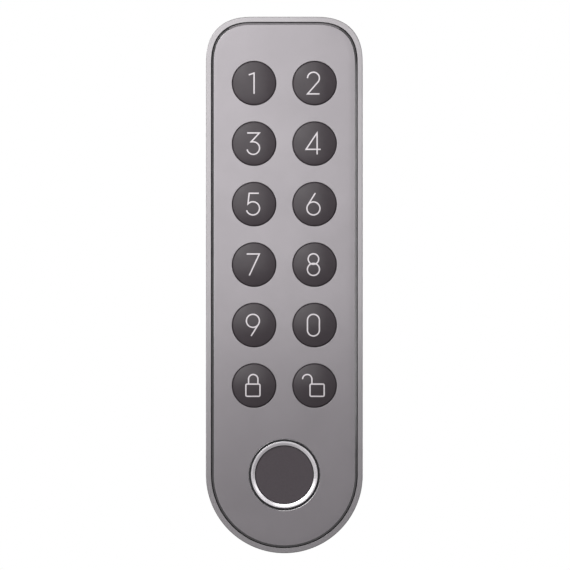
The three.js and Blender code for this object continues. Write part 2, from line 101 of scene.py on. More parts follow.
def outline(raised=0, arc_steps=96, corner_steps=20):
    """The housing's outline as a function of its inset. raised lifts the round lower end."""

    def points(inset):
        half = HALF - inset
        reach = CORNER - inset
        result = []
        for i in range(arc_steps + 1):
            angle = math.pi * (1 + i / arc_steps)
            result.append((half * math.cos(angle), ARC_Y + raised + half * math.sin(angle)))
        for side in (1, -1):
            for i in range(corner_steps + 1):
                turn = math.pi / 2 * i / corner_steps
                angle = turn if side > 0 else math.pi / 2 - turn
                along = reach * max(math.cos(angle), 0) ** (2 / CORNER_POWER)
                up = reach * max(math.sin(angle), 0) ** (2 / CORNER_POWER)
                result.append((side * (HALF - CORNER + along), BEZEL.top - CORNER + up))
        return result

    return points


def circle(x, y, steps=96):
    """A circle as a function of its radius."""

    def points(radius):
        turns = [2 * math.pi * i / steps for i in range(steps)]
        return [(x + radius * math.cos(turn), y + radius * math.sin(turn)) for turn in turns]

    return points


def rectangle(x0, x1, y0, y1, corner=0, steps=6):
    """A rectangle with round corners as a function of how far it is moved in."""

    def points(inset):
        radius = max(corner - inset, 0.001)
        left, right = x0 + inset + radius, x1 - inset - radius
        low, high = y0 + inset + radius, y1 - inset - radius
        centres = [(right, high), (left, high), (left, low), (right, low)]
        result = []
        for quarter, (cx, cy) in enumerate(centres):
            for i in range(steps + 1):
                angle = math.pi / 2 * (quarter + i / steps)
                result.append((cx + radius * math.cos(angle), cy + radius * math.sin(angle)))
        return result

    return points


def rounded(corners, closed=False, steps=5):
    """A profile through corners (u, d), or (u, d, radius) where the corner is rounded.

    Each long straight stretch also gets a point close to either end, which keeps its shading flat.
    """
    support = 0.05
    points = []
    count = len(corners)
    for i, corner in enumerate(corners):
        here = Vector(corner[:2])
        radius = corner[2] if len(corner) > 2 else 0
        before = (Vector(corners[i - 1][:2]) - here).normalized()
        after = (Vector(corners[(i + 1) % count][:2]) - here).normalized()
        if not radius:
            points.append(here)
            continue
        half = before.angle(after) / 2
        centre = here + (before + after).normalized() * radius / math.sin(half)
        start = here + before * radius / math.tan(half) - centre
        end = here + after * radius / math.tan(half) - centre
        points += [centre + start.slerp(end, k / steps) * radius for k in range(steps + 1)]
    result = []
    for i, point in enumerate(points):
        result.append(point)
        following = points[(i + 1) % len(points)]
        gap = following - point
        if gap.length > 6 * support and (closed or i + 1 < len(points)):
            result += [point + gap.normalized() * support, following - gap.normalized() * support]
    return result


# ---- Meshes ----


class Shape:
    """A mesh under construction."""

    def __init__(self):
        self.mesh = bmesh.new()

    def ring(self, points, d):
        return [self.mesh.verts.new(place(x, y, d)) for x, y in points]

    def band(self, first, second):
        for i in range(len(first)):
            j = (i + 1) % len(first)
            self.mesh.faces.new((first[i], first[j], second[j], second[i]))

    def skin(self, loop, profile, closed=False):
        """Rings of loop(u) at depth d for each (u, d), joined. Returns the rings."""
        rings = [self.ring(loop(u), d) for u, d in profile]
        for first, second in zip(rings, rings[1:] + (rings[:1] if closed else [])):
            self.band(first, second)
        return rings

    def solid(self, loop, profile, closed=False):
        """A skin that is closed on itself, or capped at both ends."""
        rings = self.skin(loop, profile, closed)
        if not closed:
            self.mesh.faces.new(rings[0])
            self.mesh.faces.new(rings[-1])
        return self

    def sheet(self, rings):
        """A flat face inside the first ring and outside the others."""
        edges = []
        for ring in rings:
            for i, vert in enumerate(ring):
                edges.append(self.mesh.edges.get((vert, ring[(i + 1) % len(ring)])))
        bmesh.ops.triangle_fill(self.mesh, edges=edges, use_beauty=True)

    def object(self, name, materials=()):
        bmesh.ops.recalc_face_normals(self.mesh, faces=self.mesh.faces)
        data = bpy.data.meshes.new(name)
        self.mesh.to_mesh(data)
        self.mesh.free()
        for material in materials:
            data.materials.append(material)
        made = bpy.data.objects.new(name, data)
        bpy.context.scene.collection.objects.link(made)
        return made


EDGE_ANGLE = math.radians(35)  # two faces that meet at more than this form an edge


def smooth(made):
    made.data.polygons.foreach_set("use_smooth", [True] * len(made.data.polygons))
    made.data.set_sharp_from_angle(angle=EDGE_ANGLE)


def finished(made, body, replaces=()):
    """The last step for a new piece: shading, the body it rides on and the CAD nodes it stands for."""
    smooth(made)
    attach(made, body)
    if replaces:
        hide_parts(*replaces)
    return made


def boolean(made, other, operation):
    """Joins other to made, or cuts it away, and removes it."""
    modifier = made.modifiers.new("boolean", "BOOLEAN")
    modifier.operation = operation
    modifier.solver = "EXACT"
    modifier.object = other
    graph = bpy.context.evaluated_depsgraph_get()
    data = bpy.data.meshes.new_from_object(made.evaluated_get(graph))
    made.modifiers.remove(modifier)
    made.data = data
    bpy.data.objects.remove(other)


def block(x, y, d, corner=0, edge=0, name="block", materials=()):
    """A block over the ranges x, y and d, with round corners in plan and rounded edges in depth."""
    profile = [(0, d[0]), (0, d[1])]
    if edge:
        inner = edge + 0.2
        profile = rounded([(inner, d[0]), (0, d[0], edge), (0, d[1], edge), (inner, d[1])])
    return Shape().solid(rectangle(*x, *y, corner), profile).object(name, materials)


# ---- Materials ----


class Finish:
    """A node material around one Principled shader, with its textures in object coordinates."""

    def __init__(self, name, colour, roughness, metallic=0.0, **values):
        self.material = bpy.data.materials.new(name)
        self.material.use_nodes = True
        self.nodes = self.material.node_tree.nodes
        self.links = self.material.node_tree.links
        self.shader = self.nodes["Principled BSDF"]
        self.colour = colour
        self.shader.inputs["Base Color"].default_value = (*colour, 1)
        self.shader.inputs["Roughness"].default_value = roughness
        self.shader.inputs["Metallic"].default_value = metallic
        for socket, value in values.items():
            self.shader.inputs[socket.replace("_", " ")].default_value = value
        self.coordinates = self.nodes.new("ShaderNodeTexCoord").outputs["Object"]
        self.normal = None

    def noise(self, size, detail=2.0, stretch=(1, 1, 1)):
        """A noise whose features measure about size millimetres."""
        mapping = self.nodes.new("ShaderNodeMapping")
        mapping.inputs["Scale"].default_value = [s / (size * MM) for s in stretch]
        self.links.new(self.coordinates, mapping.inputs["Vector"])
        texture = self.nodes.new("ShaderNodeTexNoise")
        texture.inputs["Scale"].default_value = 1.0
        texture.inputs["Detail"].default_value = detail
        self.links.new(mapping.outputs["Vector"], texture.inputs["Vector"])
        return texture.outputs["Fac"]

    def ranged(self, value, low, high, source=(0.3, 0.7)):
        node = self.nodes.new("ShaderNodeMapRange")
        node.inputs["From Min"].default_value, node.inputs["From Max"].default_value = source
        node.inputs["To Min"].default_value, node.inputs["To Max"].default_value = low, high
        self.links.new(value, node.inputs["Value"])
        return node.outputs["Result"]

    def tinted(self, value, amount, source=(0.3, 0.7)):
        """Varies the base colour by this share, darker to lighter, with value."""
        ramp = self.nodes.new("ShaderNodeValToRGB")
        ramp.color_ramp.elements[0].position, ramp.color_ramp.elements[1].position = source
        for element, factor in zip(ramp.color_ramp.elements, (1 - amount, 1 + amount)):
            element.color = (*[min(c * factor, 1) for c in self.colour], 1)
        self.links.new(value, ramp.inputs["Fac"])
        self.links.new(ramp.outputs["Color"], self.shader.inputs["Base Color"])
        return self

    def mixed(self, value, other):
        """Base colour to other where value is 1."""
        mix = self.nodes.new("ShaderNodeMix")
        mix.data_type = "RGBA"
        colour_a, colour_b = mix.inputs[6], mix.inputs[7]
        source = self.shader.inputs["Base Color"]
        if source.is_linked:
            self.links.new(source.links[0].from_socket, colour_a)
        else:
            colour_a.default_value = source.default_value
        colour_b.default_value = (*other, 1)
        self.links.new(value, mix.inputs[0])
        self.links.new(mix.outputs[2], source)
        return self

    def rough(self, value, low, high):
        self.links.new(self.ranged(value, low, high), self.shader.inputs["Roughness"])
        return self

    def bumped(self, value, height, strength=1.0):
        """Raises the surface by up to height millimetres with value."""
        bump = self.nodes.new("ShaderNodeBump")
        bump.inputs["Strength"].default_value = strength
        bump.inputs["Distance"].default_value = height * MM
        self.links.new(value, bump.inputs["Height"])
        if self.normal:
            self.links.new(self.normal, bump.inputs["Normal"])
        self.normal = bump.outputs["Normal"]
        self.links.new(self.normal, self.shader.inputs["Normal"])
        return self


def satin_metal(name, colour, roughness, metallic):
    """Bead-blasted and anodised aluminium: fine grains, with faint cloudy handling marks."""
    made = Finish(name, colour, roughness, metallic)
    made.tinted(made.noise(9, 3), 0.025)
    made.rough(made.noise(14, 4), roughness - 0.03, roughness + 0.03)
    made.bumped(made.noise(0.16, 2), 0.004, 0.35)
    return made.material


def polished_metal(name, colour, roughness):
    made = Finish(name, colour, roughness, 1.0)
    made.rough(made.noise(2.5, 4), roughness * 0.7, roughness * 1.4)
    made.bumped(made.noise(1.2, 2), 0.0015, 0.2)
    made.tinted(made.noise(5, 2), 0.02)
    return made.material


def moulded_plastic(name, colour, roughness, grain=0.22, depth=0.012):
    """Spark-eroded plastic: a dense pebble grain, slightly worn to a shine in patches."""
    made = Finish(name, colour, roughness, 0.0)
    made.tinted(made.noise(6, 4), 0.10)
    made.rough(made.noise(3, 3), roughness - 0.08, roughness + 0.06)
    made.bumped(made.noise(grain, 3), depth, 0.6)
    return made.material


def key_plastic():
    made = Finish("key_charcoal", (0.034, 0.0265, 0.031), 0.36, 0.0, Specular_IOR_Level=0.38)
    made.tinted(made.noise(1.6, 3), 0.05)
    made.rough(made.noise(2.2, 3), 0.33, 0.40)
    made.bumped(made.noise(0.12, 2), 0.002, 0.4)
    return made.material


def legend_ink_with_painted_glow():
    """Pale marks, with an emission that makes them glow a little: a painted glow, since no lamp lights
    them.
    """
    # painted glow: the emission brightens the marks beyond what the lamps give them
    made = Finish("legend_painted_glow", (0.44, 0.415, 0.43), 0.5, 0.0, Emission_Strength=0.22)
    made.shader.inputs["Emission Color"].default_value = (0.72, 0.68, 0.705, 1)
    made.tinted(made.noise(0.8, 2), 0.03)
    return made.material


def sensor_coating():
    """The reader's matt dark coating, with a very fine even speckle."""
    made = Finish("sensor_coating", (0.060, 0.049, 0.056), 0.5, 0.0, Specular_IOR_Level=0.4)
    made.tinted(made.noise(0.25, 1), 0.06)
    made.rough(made.noise(4, 3), 0.46, 0.55)
    made.bumped(made.noise(0.1, 1), 0.001, 0.3)
    return made.material


def rubber(name, colour, roughness=0.75):
    made = Finish(name, colour, roughness, 0.0)
    made.tinted(made.noise(1.5, 3), 0.12)
    made.bumped(made.noise(0.3, 3), 0.01, 0.5)
    return made.material


def silicone():
    made = Finish("silicone_white", (0.62, 0.64, 0.66), 0.55, 0.0, Subsurface_Weight=0.2)
    made.shader.inputs["Subsurface Scale"].default_value = 0.5 * MM
    made.tinted(made.noise(3, 3), 0.04)
    made.bumped(made.noise(0.4, 3), 0.006, 0.4)
    return made.material


def foam():
    """Closed-cell foam tape: open-looking cells in an off-white sheet."""
    made = Finish("adhesive_foam", (0.60, 0.59, 0.56), 0.85, 0.0)
    made.tinted(made.noise(0.5, 2), 0.10)
    made.bumped(made.noise(0.45, 2), 0.05, 0.7)
    return made.material


def solder_mask():
    """A circuit board: tracks as bands of a lighter green under the mask, in both directions."""
    made = Finish("solder_mask", (0.010, 0.070, 0.030), 0.35, 0.0)
    tracks = made.ranged(made.noise(1.1, 0, (1, 1, 0.08)), 0, 1, (0.56, 0.58))
    crossing = made.ranged(made.noise(1.3, 0, (0.08, 1, 1)), 0, 1, (0.60, 0.62))
    made.mixed(tracks, (0.020, 0.135, 0.055))
    made.mixed(crossing, (0.020, 0.135, 0.055))
    made.bumped(tracks, 0.02, 0.5)
    return made.material


def turned_metal(name, colour, roughness):
    """Turned or drawn metal, with fine lines across its length."""
    made = Finish(name, colour, roughness, 1.0)
    made.rough(made.noise(0.8, 3, (1, 1, 6)), roughness - 0.06, roughness + 0.08)
    made.tinted(made.noise(2, 3), 0.08)
    made.bumped(made.noise(0.3, 2, (1, 1, 8)), 0.003, 0.5)
    return made.material


def cell_jacket():
    """A cell's printed jacket: dark blue, with a paler band towards one end."""
    made = Finish("cell_jacket", (0.030, 0.050, 0.085), 0.32, 0.3)
    height = made.nodes.new("ShaderNodeSeparateXYZ")
    made.links.new(made.coordinates, height.inputs["Vector"])
    band_start, band_blend = 26.2 * MM, 0.2 * MM
    band = made.ranged(height.outputs["Z"], 0, 1, (band_start, band_start + band_blend))
    made.mixed(band, (0.42, 0.30, 0.12))
    made.rough(made.noise(2, 3), 0.28, 0.38)
    return made.material


def flex_film():
    made = Finish("flex_film", (0.36, 0.13, 0.03), 0.3, 0.0)
    made.mixed(made.ranged(made.noise(0.5, 0, (1, 0.02, 0.02)), 0, 1, (0.5, 0.55)), (0.50, 0.22, 0.07))
    return made.material


FINISHES = {
    "bezel_silver": satin_metal("bezel_satin", (0.303, 0.291, 0.300), 0.40, 0.65),
    "front_plate_grey": satin_metal("plate_satin", (0.256, 0.241, 0.253), 0.40, 0.65),
    "rear_housing_black": moulded_plastic("rear_plastic", (0.060, 0.057, 0.061), 0.55),
    "bracket_black": moulded_plastic("bracket_plastic", (0.045, 0.045, 0.048), 0.6, 0.3, 0.016),
    "adhesive_foam": foam(),
    "keycap_charcoal": key_plastic(),
    "silicone_white": silicone(),
    "seal_rubber": rubber("seal_rubber", (0.020, 0.020, 0.022)),
    "sensor_chrome": polished_metal("ring_chrome", (0.86, 0.84, 0.86), 0.28),
    "sensor_glass": sensor_coating(),
    "circuit_board_green": solder_mask(),
    "chip_black": moulded_plastic("chip_epoxy", (0.020, 0.020, 0.021), 0.45, 0.15, 0.005),
    "shield_can": turned_metal("shield_tin", (0.55, 0.56, 0.57), 0.30),
    "flex_amber": flex_film(),
    "battery_jacket": cell_jacket(),
    "contact_nickel": turned_metal("contact_nickel", (0.62, 0.59, 0.53), 0.25),
    "screw_steel": turned_metal("screw_zinc", (0.46, 0.46, 0.47), 0.28),
    "insert_brass": turned_metal("insert_brass", (0.62, 0.42, 0.15), 0.28),
}
PLATE_EDGE = polished_metal("plate_polished_edge", (0.62, 0.61, 0.62), 0.12)
# the key marks: pale ink with a painted glow
LEGEND = legend_ink_with_painted_glow()


# ---- Bezel, front plate and fingerprint reader ----


def bezel():
    """The silver hoop: a soft outer edge, a crisp inner one and a ledge for the plate."""
    wall = 1.7
    ledge = 2.7
    ledge_back, ledge_front = 17.6, 19.65
    profile = [
        (0, BEZEL.back, 0.12),
        (0, BEZEL.front, 0.22),
        (RIM, BEZEL.front, 0.05),
        (RIM, ledge_front),
        (ledge, ledge_front),
        (ledge, ledge_back),
        (wall, ledge_back),
        (wall, BEZEL.back),
    ]
    made = Shape().solid(outline(), rounded(profile, closed=True), closed=True)
    hoop = made.object("bezel_hoop", [FINISHES["bezel_silver"]])
    finished(hoop, "keypad", ["bezel_frame"])
    post_radius, bore = 2.55, 1.3
    for i in range(4):
        screw = Place(f"housing_screw_{i + 1}")
        inward = -math.copysign(0.45, screw.x)
        loop = circle(screw.x + inward, screw.y, 40)
        post = Shape()
        end = ledge_back - 0.6
        outside = [(post_radius, BEZEL.back), (post_radius, end, 0.15)]
        profile = rounded([*outside, (bore, end), (bore, BEZEL.back)], closed=True)
        post.solid(loop, profile, closed=True)
        finished(post.object(f"bezel_post_{i + 1}", [FINISHES["bezel_silver"]]), "keypad")


def front_plate():
    """A satin plate with polished edges, and holes for the keys and the reader."""
    chamfer, chamfer_depth = 0.52, 0.38
    soft, fall = 1.6, 0.05  # the face dips a little towards its edge
    hole_edge = 0.05
    hole_radius = 5.68
    reader_hole, reader_chamfer, reader_depth = 9.05, 0.13, 0.09
    face_inset = PLATE_INSET + chamfer + 0.15
    shape = Shape()
    rim = [
        (face_inset, PLATE.front - fall),
        (PLATE_INSET + chamfer, PLATE.front - fall, 0.08),
        (PLATE_INSET, PLATE.front - fall - chamfer_depth, 0.06),
        (PLATE_INSET, PLATE.back),
    ]
    around = rounded(rim, steps=6)
    dip_steps = 8
    for i in range(dip_steps):
        share = (i + 1) / dip_steps
        dip = fall * (1 - share) ** 2
        around.insert(0, Vector((face_inset + soft * share, PLATE.front - dip)))
    skins = [shape.skin(outline(), around)]
    key_edge = [
        (hole_radius + hole_edge + 0.2, PLATE.front),
        (hole_radius, PLATE.front, hole_edge),
        (hole_radius, PLATE.back),
    ]
    for key in KEYS.values():
        skins.append(shape.skin(circle(key.x, key.y, 72), rounded(key_edge)))
    reader_edge = [
        (reader_hole + reader_chamfer + 0.3, PLATE.front),
        (reader_hole + reader_chamfer, PLATE.front, 0.02),
        (reader_hole, PLATE.front - reader_depth, 0.02),
        (reader_hole, PLATE.back),
    ]
    skins.append(shape.skin(circle(RING.x, RING.y, 144), rounded(reader_edge, steps=3)))
    shape.sheet([rings[0] for rings in skins])
    shape.sheet([rings[-1] for rings in skins])
    made = shape.object("front_plate_skin", [FINISHES["front_plate_grey"], PLATE_EDGE])
    keys_left, keys_right = (KEYS[name].x for name in ("1", "2"))
    for polygon in made.data.polygons:
        middle = polygon.center / MM
        at_keys = keys_left - 6 < middle.x < keys_right + 6 and middle.z > RING.top + 2
        if 0.05 < abs(polygon.normal.y) < 0.985 and not at_keys:
            polygon.material_index = 1
    finished(made, "keypad", ["front_plate"])


def plate_gasket_and_gap_shade():
    """The black rubber seal between the plate and the bezel, brought up into the gap so that it shows as a
    black line round the plate: partly the real seal, partly painted shade standing in for the gap's
    shadow.
    """
    profile = [
        (RIM + 0.02, 19.7),
        (RIM + 0.02, 20.8, 0.1),
        (PLATE_INSET - 0.02, 20.8, 0.1),
        (PLATE_INSET - 0.02, PLATE.back - 0.05),
        (2.6, PLATE.back - 0.05),
        (2.6, 19.7),
    ]
    # the seal's top stands high in the gap, so its black serves as the gap's painted shade
    made = Shape().solid(outline(), rounded(profile, closed=True), closed=True)
    made = made.object("plate_gasket_and_gap_shade", [FINISHES["seal_rubber"]])
    finished(made, "keypad", ["plate_seal"])


def fingerprint_reader():
    """A polished ring that slopes in to a matt dark disc."""
    flange_front = 20.1
    inner, outer = 7.5, 8.5
    profile = [
        (inner, RING.back),
        (RING.radius, RING.back),
        (RING.radius, flange_front, 0.1),
        (outer, flange_front),
        (outer, RING.front, 0.08),
        (outer - 0.40, RING.front - 0.05, 0.04),
        (inner, RING.front - 0.34, 0.04),
    ]
    ring = Shape().solid(circle(RING.x, RING.y, 160), rounded(profile, closed=True), closed=True)
    ring = ring.object("reader_ring", [FINISHES["sensor_chrome"]])
    finished(ring, "keypad", ["sensor_ring"])
    # A black ring is put in the gap between the reader's ring and the plate. Its black stands in for the
    # shade in that gap: painted shade.
    gap = (8.53, 8.97)  # between the ring and the plate
    low, high = 20.45, 21.6
    section = [(gap[0], low), (gap[0], high, 0.1), (gap[1], high, 0.1), (gap[1], low)]
    gap_shade = Shape().solid(circle(RING.x, RING.y, 120), rounded(section, closed=True), closed=True)
    finished(gap_shade.object("reader_gap_shade_ring", [FINISHES["seal_rubber"]]), "keypad")
    hollow, edge = 0.12, 0.12  # how far the disc dips in the middle, and its edge's width
    steps = 12
    shares = [(i + 0.5) / steps for i in range(steps)]
    reach = GLASS.radius - edge
    dish = [(reach * share, GLASS.front - hollow * (1 - share**2)) for share in shares]
    rim = [
        (reach, GLASS.front),
        (GLASS.radius, GLASS.front, edge / 2),
        (GLASS.radius, GLASS.back),
        (GLASS.radius / 2, GLASS.back),
    ]
    disc = Shape().solid(circle(GLASS.x, GLASS.y, 128), [*dish, *rounded(rim)])
    disc = disc.object("reader_disc", [FINISHES["sensor_glass"]])
    finished(disc, "keypad", ["sensor_glass"])


# ---- Keys and their marks ----

CAP_RADIUS = 5.6
DOME_RADIUS = 17.5
MARK_WIDTH = 0.34
MARK_SHIFT = -0.3  # the marks sit a little left of each key's middle


def dome(r, front):
    """The depth of a key's face at r from its middle."""
    return front - DOME_RADIUS + math.sqrt(DOME_RADIUS**2 - r**2)


def keycap(name, key):
    flange_front = 20.0
    edge = 0.42
    reach = CAP_RADIUS - edge
    steps = 14
    face = [(reach * (i + 0.5) / steps, dome(reach * (i + 0.5) / steps, key.front)) for i in range(steps)]
    shoulder = dome(CAP_RADIUS, key.front)
    face_end = reach * (1 - 0.3 / steps)
    sides = [
        (face_end, dome(face_end, key.front)),
        (CAP_RADIUS, shoulder, edge),
        (CAP_RADIUS, flange_front),
        (key.radius, flange_front, 0.12),
        (key.radius, key.back, 0.12),
        (key.radius / 2, key.back),
    ]
    cap = Shape().solid(circle(key.x, key.y, 96), [*face, *rounded(sides)])
    cap = cap.object(f"key_cap_{name}", [FINISHES["keycap_charcoal"]])
    finished(cap, f"key_{name}", [f"keycap_{name}"])


def line(*points):
    return [Vector(point) for point in points]


def stepped(points):
    """The same route, with its straight stretches in steps short enough to follow a key's dome."""
    step = 0.6
    result = points[:1]
    for start, end in zip(points, points[1:]):
        count = max(1, round((end - start).length / step))
        result += [start.lerp(end, i / count) for i in range(1, count + 1)]
    return result


def arc(x, y, radius, start, end):
    """An arc between two angles in degrees; it runs clockwise if end is the smaller."""
    count = max(4, round(abs(end - start) / 9))
    turns = [math.radians(start + (end - start) * i / count) for i in range(count + 1)]
    return [Vector((x + radius * math.cos(turn), y + radius * math.sin(turn))) for turn in turns]


def tangent(x, y, radius, point, side):
    """The angle, in degrees, at which a line from point touches a circle on the given side."""
    away = Vector((x, y)) - Vector(point)
    lean = math.asin(radius / away.length) * side
    heading = math.atan2(away.y, away.x) + lean
    return math.degrees(heading) + 90 * side


TALL = 2.76  # half the height of a mark
BOWL = 1.66


def mark_one():
    return [line((-1.05, 2.08), (0.3, 2.55), (0.3, -TALL))]


def mark_two():
    radius = 1.52
    foot = (-1.5, -TALL)
    touch = tangent(0, TALL - radius, radius, foot, -1)
    bowl = arc(0, TALL - radius, radius, 180, touch)
    return [bowl + line(bowl[-1], foot, (1.54, -TALL))[1:]]


def mark_three():
    radius = 1.6
    middle = 0.45
    bowl = arc(0.08, middle - radius, radius, 90, -167)
    return [line((-1.45, TALL - 0.05), (1.64, TALL - 0.05), (-0.45, middle), (0.08, middle)) + bowl[1:]]


def mark_four():
    stem = 0.94
    return [line((1.86, -1.47), (-1.88, -1.47), (stem, TALL), (stem, -TALL))]


def mark_five():
    radius = 1.68
    bowl = arc(0, -TALL + radius, radius, 139, -163)
    return [line((1.5, TALL), (-0.95, TALL), bowl[0]) + bowl[1:]]


def looped(tip, y):
    """A straight stroke from tip that runs into a full bowl whose middle is at y."""
    touch = tangent(0, y, BOWL, tip, -1)
    bowl = arc(0, y, BOWL, touch, touch + 360)
    return [line(tip, bowl[0]) + bowl[1:]]


def mark_six():
    return looped((0.48, TALL + 0.05), -TALL + BOWL)


def mark_seven():
    return [line((-1.6, TALL - 0.05), (1.64, TALL - 0.05), (-0.92, -TALL))]


def mark_eight():
    upper, lower = 1.34, 1.54
    return [
        arc(0, TALL - upper, upper, 270, -90),
        arc(0, -TALL + lower, lower, 90, 450),
    ]


def mark_nine():
    return looped((-0.46, -TALL), TALL - BOWL)


def mark_zero():
    radius = 1.52
    straight = TALL - radius
    lower = arc(0, -straight, radius, 0, -180)
    upper = arc(0, straight, radius, 180, 0)
    return [[*lower, *upper, lower[0]]]


SHACKLE = 1.19
SHACKLE_Y = 1.66
BODY_TOP = 0.41


def lock_body(x):
    """The padlock's body, a rounded square about x."""
    half, corner = 1.8, 0.35
    left, right = x - half + corner, x + half - corner
    low, high = -2.71 + corner, BODY_TOP - corner
    points = []
    for cx, cy, start in ((right, high, 90), (right, low, 0), (left, low, -90), (left, high, -180)):
        points += arc(cx, cy, corner, start, start - 90)
    return [*points, points[0]]


def mark_lock():
    over = arc(0.08, SHACKLE_Y, SHACKLE, 180, 0)
    shackle = [*line((over[0].x, BODY_TOP)), *over, *line((over[-1].x, BODY_TOP))]
    return [lock_body(0), shackle]


def mark_unlock():
    over = arc(-1.58, SHACKLE_Y, SHACKLE, 0, 180)
    return [lock_body(0.93), [*line((over[0].x, BODY_TOP)), *over]]


DIGITS = [mark_one, mark_two, mark_three, mark_four, mark_five]
DIGITS += [mark_six, mark_seven, mark_eight, mark_nine, mark_zero]
MARKS = dict(zip(KEY_NAMES, [*DIGITS, mark_lock, mark_unlock]))


def ribbon(shape, points, key, lift):
    """A flat stroke along points that follows the key's dome and stands lift above it."""
    points = stepped(points)
    sunk = 0.1
    rise = 0.002  # added along the stroke, so that it never lies level with itself at a crossing
    closed = (points[0] - points[-1]).length < 1e-6
    if closed:
        points = points[:-1]
    count = len(points)
    rings = []
    for i, point in enumerate(points):
        ahead = points[(i + 1) % count] if closed or i + 1 < count else None
        behind = points[i - 1] if closed or i > 0 else None
        headings = [(b - a).normalized() for a, b in ((behind, point), (point, ahead)) if a and b]
        sides = [Vector((-h.y, h.x)) for h in headings]
        across = sum(sides, Vector((0, 0))).normalized()
        across *= MARK_WIDTH / 2 / max(across.dot(sides[0]), 0.4)
        ring = []
        for edge, height in ((-1, -sunk), (1, -sunk), (1, lift), (-1, lift)):
            spot = point + across * edge
            x = spot.x + MARK_SHIFT
            depth = dome(math.hypot(x, spot.y), key.front) + height + rise * i / count
            ring.append(shape.mesh.verts.new(place(key.x + x, key.y + spot.y, depth)))
        rings.append(ring)
    for first, second in zip(rings, rings[1:] + (rings[:1] if closed else [])):
        shape.band(first, second)
    if not closed:
        shape.mesh.faces.new(rings[0])
        shape.mesh.faces.new(rings[-1])


def key_mark(name, key):
    shape = Shape()
    lift = 0.02
    for i, stroke in enumerate(MARKS[name]()):
        ribbon(shape, stroke, key, lift + 0.004 * i)
    finished(shape.object(f"key_mark_{name}", [LEGEND]), f"key_{name}")


# ---- Rear housing ----

SKIRT = REAR_INSET + 1.6  # the inset of the housing's inner face
SKIRT_FRONT = 11  # where the housing ends, short of the bezel
BACK_WALL = (2.4, 3.8)
BAY_X, BAY_Y, BAY_ROOF = (-16.5, 16.5), (-9, 40.2), (14.9, 15.7)
INSIDE = BACK_WALL[0] + 0.6  # inside the back wall, where the shapes that join it begin
RECESS_FLOOR = 3.9  # the door slides in a recess as deep as this
DOOR_X = (-17, 17)
DOOR_LAP = 0.7  # how far the door laps over each end of the bay
DOOR_TRAVEL = 5
LIFT = 7  # how far the keypad slides up its bracket
SCREW_D = 4.9
LUG_X, LUG_TOP, LUG_FRONT = (-4.5, 4.5), -64.6, 8  # the bracket's lug for the security screw
HOOK_HALF, HOOK_STEM = 3, 0.8  # half a hook's width, and half its stem's height
HOOKS = [(x, y) for x in (-9, 9) for y in (58, -24)]
LIPS = [(side, y) for side in (-1, 1) for y in (-2, 14, 30)]
LIP_LENGTH = 4
LIP_INNER = 16.4
PAST = 1  # how far a cutting shape runs past the face that it cuts


def grown(span, by):
    return (span[0] - by, span[1] + by)


def sided(side, near, far):
    """The range from near to far on the given side of the middle."""
    return tuple(sorted((side * near, side * far)))


def lug_block():
    """The thick part of the housing's lower end, round the lug and the screw's insert."""
    wall = 1.8
    inset = REAR_INSET + 0.1
    made = Shape().solid(outline(), [(inset, INSIDE), (inset, LUG_FRONT + wall)]).object("lug_block")
    part = block(grown(LUG_X, wall), (REAR.bottom - PAST, -57), (0, 12), 0.8)
    boolean(made, part, "INTERSECT")
    return made


def screw_posts():
    """The four posts that the housing screws run through, and the stepped bores to cut into them."""
    radius, front = 2.6, SKIRT_FRONT - 0.05
    bore, seat, seat_depth = 1.3, 2.3, 4.4
    posts, bores = Shape(), Shape()
    for i in range(4):
        spot = Place(f"housing_screw_{i + 1}")
        loop = circle(spot.x, spot.y, 40)
        posts.solid(loop, [(radius, INSIDE), (radius, front)])
        steps = [(seat, 0), (seat, seat_depth), (bore, seat_depth), (bore, SKIRT_FRONT + PAST)]
        bores.solid(loop, steps)
    return posts.object("posts"), bores.object("bores")


def housing_openings():
    """What is cut out for the cells, the door, the lug, the insert, the hooks and the contacts' tails."""
    clearance = 0.4
    low, high = BAY_Y[0] - DOOR_LAP - 0.3, BAY_Y[1] + DOOR_LAP + DOOR_TRAVEL + 0.5
    lug_y = (REAR.bottom - PAST, LUG_TOP + clearance)
    cuts = [
        block(BAY_X, BAY_Y, (0, BAY_ROOF[0]), 0.6, 0.3),
        block(grown(DOOR_X, 0.3), (low, high), (0, RECESS_FLOOR), 1.2),
        block(grown(LUG_X, clearance), lug_y, (0, LUG_FRONT + clearance), clearance),
        upright_rod([(2.1, -65), (2.1, -58.3)]),
    ]
    half = HOOK_HALF + clearance
    for x, y in HOOKS:
        along = (y - HOOK_STEM - LIFT - 0.5, y + HOOK_STEM + 0.3)
        cuts.append(block((x - half, x + half), along, (0, BACK_WALL[1] + PAST), clearance))
    tail_x, tail_y = 1.3, 0.7
    top, bottom = BAY_Y[1] - 0.3, BAY_Y[0] + 0.3
    for x, y in ((-11, top), (5.5, top), (-5.5, bottom), (11, bottom)):
        spans = (x - tail_x, x + tail_x), (y - tail_y, y + tail_y)
        cuts.append(block(*spans, (BAY_ROOF[0] - PAST, 17), 0.2))
    return cuts


